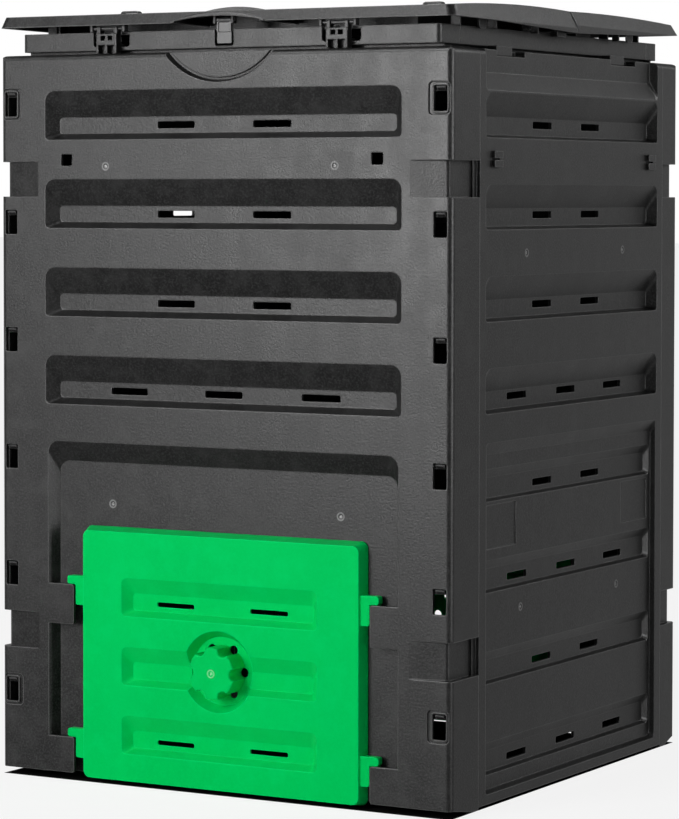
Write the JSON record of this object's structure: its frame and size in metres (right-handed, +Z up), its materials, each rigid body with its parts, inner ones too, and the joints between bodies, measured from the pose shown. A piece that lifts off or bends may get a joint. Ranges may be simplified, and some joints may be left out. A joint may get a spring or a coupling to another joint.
{
  "type": "compost bin with lid",
  "caption": "Square black plastic garden composter with louvred vented walls, a folding lid and green sliding doors with star knobs.",
  "frame": {"origin": "on the ground under the middle of the bin", "axes": "+Z up, -Y towards the front door, +X towards the right side"},
  "size_m": [0.608, 0.631, 0.9036],
  "materials": {
    "black_plastic": "matte, finely textured",
    "green_plastic": "satin",
    "grey_plastic": "satin",
    "steel": "zinc plated"
  },
  "bodies": {
    "bin": {"front_panel": "black_plastic", "rear_panel": "black_plastic", "right_side_panel": "black_plastic", "left_side_panel": "black_plastic", "front_collar_rail": "black_plastic", "rear_collar_rail": "black_plastic", "right_collar_rail": "black_plastic", "left_collar_rail": "black_plastic", "front_right_lid_clip": "black_plastic", "front_left_lid_clip": "black_plastic", "rear_left_lid_clip": "black_plastic", "rear_right_lid_clip": "black_plastic", "front_tie_bar": "black_plastic", "rear_tie_bar": "black_plastic"},
    "rear_leaf": {"rear_lid_leaf": "black_plastic", "rear_lid_pins": "grey_plastic", "rear_latch_pin": "steel", "fold_pins": "steel"},
    "front_leaf": {"front_lid_leaf": "black_plastic", "front_lid_pins": "grey_plastic", "front_latch_pin": "steel"},
    "front_latch_tongue": {"front_latch": "grey_plastic"},
    "rear_latch_tongue": {"rear_latch": "grey_plastic"},
    "front_sliding_door": {"front_door": "green_plastic"},
    "rear_sliding_door": {"rear_door": "green_plastic"},
    "front_lock": {"front_knob": "green_plastic", "front_lock_lever": "black_plastic", "front_lever_washer": "steel", "front_lever_screw": "steel"},
    "rear_lock": {"rear_knob": "green_plastic", "rear_lock_lever": "black_plastic", "rear_lever_washer": "steel", "rear_lever_screw": "steel"}
  },
  "joints": [
    {"name": "lid_hinge", "type": "hinge", "parent": "bin", "child": "rear_leaf", "pos_m": [0, 0.291, 0.876], "axis": [-1, 0, 0], "range_deg": [0, 90]},
    {"name": "lid_fold", "type": "hinge", "parent": "rear_leaf", "child": "front_leaf", "pos_m": [0, 0, 0.898], "axis": [-1, 0, 0], "range_deg": [0, 150]},
    {"name": "front_latch_tilt", "type": "hinge", "parent": "front_leaf", "child": "front_latch_tongue", "pos_m": [0, -0.2844, 0.8825], "axis": [-1, 0, 0], "range_deg": [0, 20]},
    {"name": "rear_latch_tilt", "type": "hinge", "parent": "rear_leaf", "child": "rear_latch_tongue", "pos_m": [0, 0.2844, 0.8825], "axis": [1, 0, 0], "range_deg": [0, 20]},
    {"name": "front_door_slide", "type": "slide", "parent": "bin", "child": "front_sliding_door", "axis": [0, 0, 1], "range_m": [0, 0.06]},
    {"name": "rear_door_slide", "type": "slide", "parent": "bin", "child": "rear_sliding_door", "axis": [0, 0, 1], "range_m": [0, 0.06]},
    {"name": "front_knob_turn", "type": "hinge", "parent": "front_sliding_door", "child": "front_lock", "pos_m": [0, -0.3, 0.141], "axis": [0, -1, 0], "range_deg": [0, 90]},
    {"name": "rear_knob_turn", "type": "hinge", "parent": "rear_sliding_door", "child": "rear_lock", "pos_m": [0, 0.3, 0.141], "axis": [0, 1, 0], "range_deg": [0, 90]}
  ]
}
